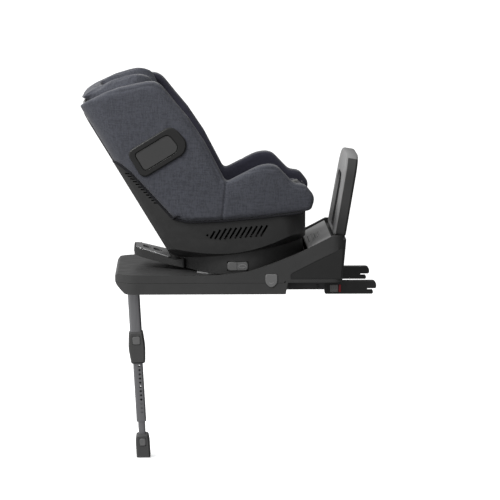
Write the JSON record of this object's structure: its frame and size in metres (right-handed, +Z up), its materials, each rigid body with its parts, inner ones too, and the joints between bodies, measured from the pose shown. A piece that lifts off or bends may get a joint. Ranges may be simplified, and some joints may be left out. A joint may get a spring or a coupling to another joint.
{
  "type": "convertible car seat",
  "caption": "Rotating reclining child car seat on a base with telescopic load leg, rebound panel and rigid lower anchorage connectors; fabric covers, side impact pods, harness.",
  "frame": {"origin": "midway between the two vehicle anchorage bars, on the line through their centres as the connector slots hold them", "axes": "+X towards the vehicle seat back, the way the child faces; +Y the child's left; +Z up"},
  "size_m": [0.8118, 0.44, 1.0919],
  "materials": {
    "base_plastic": "fine-grained moulded polypropylene, satin",
    "shell_plastic": "fine-grained moulded polypropylene, satin",
    "dark_plastic": "dark moulded plastic, matte",
    "pod_plastic": "smooth moulded plastic, matte",
    "grey_plastic": "grey moulded plastic, satin",
    "light_plastic": "light grey moulded plastic, satin",
    "button_plastic": "mid grey moulded plastic, satin",
    "silver_plate": "silver paint, satin",
    "leg_tube": "anodised, satin",
    "steel": "black powder coat",
    "red_plastic": "red moulded plastic",
    "cover_fabric": "fine woven polyester, dark slate blue",
    "inner_fabric": "soft knit, dark navy",
    "webbing": "woven polyester webbing, charcoal"
  },
  "bodies": {
    "base": {"base_tray": "base_plastic", "base_cover": "base_plastic", "base_side_inset_l": "dark_plastic", "base_side_inset_r": "dark_plastic", "arm_rail_l": "steel", "arm_rail_r": "steel", "recline_track_l": "grey_plastic", "recline_track_r": "grey_plastic", "deck_plate": "grey_plastic", "rebound_cover": "light_plastic", "rebound_shell": "base_plastic", "leg_pivot_pin": "steel"},
    "base_button_l": {"base_release_button_l": "button_plastic"},
    "base_button_r": {"base_release_button_r": "button_plastic"},
    "leg_upper": {"leg_upper_tube": "leg_tube", "leg_clamp": "base_plastic"},
    "leg_button": {"leg_button": "button_plastic"},
    "leg_lower": {"leg_lower_tube": "leg_tube"},
    "leg_foot": {"leg_foot_tube": "leg_tube", "leg_foot": "base_plastic"},
    "foot_button": {"foot_button": "button_plastic"},
    "arm_l": {"arm_tube_l": "steel", "connector_housing_l": "dark_plastic", "latch_indicator_l": "red_plastic"},
    "arm_r": {"arm_tube_r": "steel", "connector_housing_r": "dark_plastic", "latch_indicator_r": "red_plastic"},
    "slider_l": {"connector_slider_l": "button_plastic"},
    "slider_r": {"connector_slider_r": "button_plastic"},
    "jaw_l": {"connector_jaw_l": "steel"},
    "jaw_r": {"connector_jaw_r": "steel"},
    "carriage": {"carriage": "base_plastic", "tongue_plate": "silver_plate", "swivel_hub": "steel"},
    "recline_lever": {"recline_lever": "button_plastic"},
    "swivel_button_l": {"swivel_button_l": "grey_plastic"},
    "swivel_button_r": {"swivel_button_r": "grey_plastic"},
    "seat": {"seat_shell": "shell_plastic", "back_shell": "shell_plastic", "side_cover_l": "cover_fabric", "side_cover_r": "cover_fabric", "back_pad": "cover_fabric", "seat_pad": "inner_fabric", "pod_bezel_l": "shell_plastic", "pod_bezel_r": "shell_plastic", "shoulder_strap_l": "webbing", "shoulder_strap_r": "webbing", "hip_strap_l": "webbing", "hip_strap_r": "webbing", "crotch_strap": "webbing", "adjuster_strap": "webbing", "buckle": "shell_plastic"},
    "headrest": {"headrest_shell": "shell_plastic", "headrest_pad": "cover_fabric"},
    "headrest_lever": {"headrest_lever": "button_plastic"},
    "pod_l": {"side_pod_l": "pod_plastic"},
    "pod_r": {"side_pod_r": "pod_plastic"},
    "buckle_button": {"buckle_button": "red_plastic"},
    "adjuster_button": {"adjuster_button": "grey_plastic"}
  },
  "joints": [
    {"name": "recline", "type": "hinge", "parent": "base", "child": "carriage", "pos_m": [-0.416, 0, 0.4618], "axis": [0, 1, 0], "range_deg": [0, 12]},
    {"name": "recline_lever_pull", "type": "slide", "parent": "carriage", "child": "recline_lever", "axis": [0, 0, 1], "range_m": [0, 0.0035], "stiffness_N_per_m": 400},
    {"name": "swivel", "type": "hinge", "parent": "carriage", "child": "seat", "pos_m": [-0.356, 0, 0.1048], "axis": [-0.1392, 0, 0.9903], "continuous": true},
    {"name": "headrest_height", "type": "slide", "parent": "seat", "child": "headrest", "axis": [-0.518, 0, 0.8554], "range_m": [0, 0.12]},
    {"name": "headrest_lever_squeeze", "type": "slide", "parent": "headrest", "child": "headrest_lever", "axis": [-0.518, 0, 0.8554], "range_m": [0, 0.005], "stiffness_N_per_m": 400},
    {"name": "buckle_press", "type": "slide", "parent": "seat", "child": "buckle_button", "axis": [0, 0, -1], "range_m": [0, 0.003], "stiffness_N_per_m": 600},
    {"name": "adjuster_press", "type": "slide", "parent": "seat", "child": "adjuster_button", "axis": [0, 0, -1], "range_m": [0, 0.0025], "stiffness_N_per_m": 600},
    {"name": "leg_fold", "type": "hinge", "parent": "base", "child": "leg_upper", "pos_m": [-0.652, 0, 0.0158], "axis": [0, -1, 0], "range_deg": [0, 84.5]},
    {"name": "leg_button_press", "type": "slide", "parent": "leg_upper", "child": "leg_button", "axis": [0, 1, 0], "range_m": [0, 0.0025], "stiffness_N_per_m": 400},
    {"name": "leg_length", "type": "slide", "parent": "leg_upper", "child": "leg_lower", "axis": [-0.0549, 0, 0.9985], "range_m": [0, 0.12]},
    {"name": "foot_length", "type": "slide", "parent": "leg_lower", "child": "leg_foot", "axis": [-0.0549, 0, 0.9985], "range_m": [0, 0.03]},
    {"name": "foot_button_press", "type": "slide", "parent": "leg_foot", "child": "foot_button", "axis": [0, 1, 0], "range_m": [0, 0.003], "stiffness_N_per_m": 400},
    {"name": "pod_l_out", "type": "slide", "parent": "seat", "child": "pod_l", "axis": [0, 1, 0], "range_m": [0, 0.025]},
    {"name": "swivel_button_l_press", "type": "slide", "parent": "carriage", "child": "swivel_button_l", "axis": [0, -1, 0], "range_m": [0, 0.0035], "stiffness_N_per_m": 400},
    {"name": "base_button_l_press", "type": "slide", "parent": "base", "child": "base_button_l", "axis": [0, -1, 0], "range_m": [0, 0.0035], "stiffness_N_per_m": 400},
    {"name": "arm_l_extend", "type": "slide", "parent": "base", "child": "arm_l", "axis": [1, 0, 0], "range_m": [-0.095, 0]},
    {"name": "slider_l_travel", "type": "slide", "parent": "arm_l", "child": "slider_l", "axis": [-1, 0, 0], "range_m": [0, 0.007]},
    {"name": "jaw_l_turn", "type": "hinge", "parent": "arm_l", "child": "jaw_l", "pos_m": [-0.027, 0.14, 0.0113], "axis": [0, 1, 0], "range_deg": [0, 12]},
    {"name": "pod_r_out", "type": "slide", "parent": "seat", "child": "pod_r", "axis": [0, -1, 0], "range_m": [0, 0.025]},
    {"name": "swivel_button_r_press", "type": "slide", "parent": "carriage", "child": "swivel_button_r", "axis": [0, 1, 0], "range_m": [0, 0.0035], "stiffness_N_per_m": 400},
    {"name": "base_button_r_press", "type": "slide", "parent": "base", "child": "base_button_r", "axis": [0, 1, 0], "range_m": [0, 0.0035], "stiffness_N_per_m": 400},
    {"name": "arm_r_extend", "type": "slide", "parent": "base", "child": "arm_r", "axis": [1, 0, 0], "range_m": [-0.095, 0]},
    {"name": "slider_r_travel", "type": "slide", "parent": "arm_r", "child": "slider_r", "axis": [-1, 0, 0], "range_m": [0, 0.007]},
    {"name": "jaw_r_turn", "type": "hinge", "parent": "arm_r", "child": "jaw_r", "pos_m": [-0.027, -0.14, 0.0113], "axis": [0, 1, 0], "range_deg": [0, 12]}
  ],
  "couplings": [
    {"joint": "jaw_l_turn", "follows": "slider_l_travel", "rad_per_m": 29.9},
    {"joint": "jaw_r_turn", "follows": "slider_r_travel", "rad_per_m": 29.9}
  ]
}
